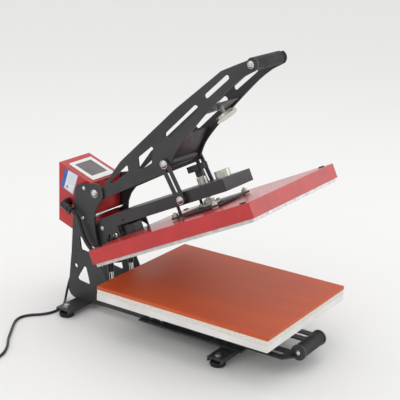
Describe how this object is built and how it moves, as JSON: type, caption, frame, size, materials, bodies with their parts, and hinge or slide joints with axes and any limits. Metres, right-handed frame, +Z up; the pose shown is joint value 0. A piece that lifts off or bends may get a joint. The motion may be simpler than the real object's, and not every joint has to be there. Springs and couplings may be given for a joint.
{
  "type": "heat press",
  "caption": "Clamshell heat press with flat square-cornered platens, toggle lever, magnetic lock, gas struts and a slide-out lower table.",
  "frame": {"origin": "on the bench, under the middle of the machine's own box without its mains cord, with the feet standing at z = 0", "axes": "+Z up, +Y towards the control box at the rear, the operator and the pull-out handle are at -Y, +X to the operator's right"},
  "size_m": [0.8428, 0.7697, 0.7527],
  "materials": {
    "black_powder_coat": "satin",
    "red_powder_coat": "satin",
    "white_powder_coat": "satin",
    "zinc_steel": "satin",
    "chrome_steel": "polished",
    "nickel_steel": "polished",
    "foot_rubber": "matte",
    "white_plastic": "gloss",
    "screen_film": "satin",
    "circuit_board": "matte",
    "black_plastic": "gloss",
    "cord_rubber": "matte",
    "plug_rubber": "matte",
    "rocker_plastic": "gloss",
    "heat_plate_metal": "matte",
    "insulation_fibre": "matte",
    "knob_plastic": "matte",
    "grip_rubber": "matte",
    "strut_paint": "gloss",
    "foam_board": "matte",
    "silicone_orange": "satin"
  },
  "bodies": {
    "base": {"left_side_plate": "black_powder_coat", "right_side_plate": "black_powder_coat", "foot_bars": "black_powder_coat", "rubber_feet": "foot_rubber", "base_rails": "black_powder_coat", "base_fasteners": "zinc_steel", "slide_outers": "zinc_steel", "cross_rods": "chrome_steel", "lever_pivot_bolts": "chrome_steel", "arm_pivot_shaft": "chrome_steel", "box_shell": "red_powder_coat", "box_back": "red_powder_coat", "display_bezel": "white_plastic", "display_screen": "screen_film", "control_board": "circuit_board", "cord_gland": "black_plastic", "lead_elbow": "black_plastic", "switch_frame": "black_plastic", "heater_lead": "cord_rubber", "mains_cord": "cord_rubber", "cord_coil": "cord_rubber", "cord_plug": "plug_rubber"},
    "rocker": {"power_rocker": "rocker_plastic"},
    "arm": {"arm_channel": "black_powder_coat", "spindle_bush": "zinc_steel", "electromagnet": "nickel_steel", "arm_pins": "chrome_steel"},
    "links": {"left_link": "black_powder_coat", "right_link": "black_powder_coat", "link_bolts": "chrome_steel"},
    "platen": {"platen_cover": "red_powder_coat", "heat_plate": "heat_plate_metal", "insulation_board": "insulation_fibre", "bracket_plate": "black_powder_coat", "bracket_fasteners": "zinc_steel", "swivel_flange": "zinc_steel", "terminal_box": "black_plastic", "cover_plugs": "black_plastic"},
    "pressure_screw": {"pressure_spindle": "zinc_steel", "star_knob": "knob_plastic"},
    "lever": {"left_lever_plate": "black_powder_coat", "right_lever_plate": "black_powder_coat", "lever_cross_plates": "black_powder_coat", "cross_tube": "black_powder_coat", "lever_grip": "grip_rubber", "grip_bolts": "chrome_steel", "strike_disc": "nickel_steel", "strike_stud": "zinc_steel"},
    "strut_rods": {"strut_rods": "chrome_steel"},
    "strut_cylinders": {"strut_cylinders": "strut_paint"},
    "drawer": {"lower_table": "white_powder_coat", "foam_layer": "foam_board", "silicone_pad": "silicone_orange", "carriage_plate": "black_powder_coat", "pedestal": "black_powder_coat", "slide_inners": "zinc_steel", "pull_plate": "black_powder_coat", "pull_roller": "grip_rubber", "pull_bolts": "chrome_steel"}
  },
  "joints": [
    {"name": "arm_pivot", "type": "hinge", "parent": "base", "child": "arm", "pos_m": [0, 0.25475, 0.177], "axis": [1, 0, 0], "range_deg": [0, 26.2], "stiffness_Nm_per_rad": 60, "springref_deg": -108.86, "deforming": ["heater_lead"]},
    {"name": "lever_pivot", "type": "hinge", "parent": "base", "child": "lever", "pos_m": [0, 0.25125, 0.3365], "axis": [1, 0, 0], "range_deg": [0, 44.5]},
    {"name": "link_swing", "type": "hinge", "parent": "arm", "child": "links", "pos_m": [0, -0.01824, 0.37351], "axis": [1, 0, 0], "range_deg": [-61.04, 0]},
    {"name": "strut_swing", "type": "hinge", "parent": "base", "child": "strut_rods", "pos_m": [0, 0.20925, 0.058], "axis": [1, 0, 0], "range_deg": [0, 8.16]},
    {"name": "strut_stroke", "type": "slide", "parent": "strut_rods", "child": "strut_cylinders", "axis": [0, 0.1307, 0.9914], "range_m": [-0.01758, 0]},
    {"name": "platen_lift", "type": "slide", "parent": "arm", "child": "platen", "axis": [0, 0.4415, 0.8973], "range_m": [0, 0.006]},
    {"name": "knob_turn", "type": "hinge", "parent": "platen", "child": "pressure_screw", "pos_m": [0, -0.03648, 0.40166], "axis": [0, 0.4415, 0.8973], "range_deg": [0, 1080]},
    {"name": "table_slide", "type": "slide", "parent": "base", "child": "drawer", "axis": [0, -1, 0], "range_m": [0, 0.25]},
    {"name": "power_switch", "type": "hinge", "parent": "base", "child": "rocker", "pos_m": [0, 0.38175, 0.2667], "axis": [1, 0, 0], "range_deg": [-16, 0]}
  ],
  "couplings": [
    {"joint": "lever_pivot", "follows": "arm_pivot", "ratio": 1.6985},
    {"joint": "link_swing", "follows": "arm_pivot", "ratio": -2.3298},
    {"joint": "strut_swing", "follows": "arm_pivot", "ratio": 0.3116},
    {"joint": "strut_stroke", "follows": "arm_pivot", "m_per_rad": -0.038442},
    {"joint": "knob_turn", "follows": "platen_lift", "rad_per_m": 3141.6}
  ]
}
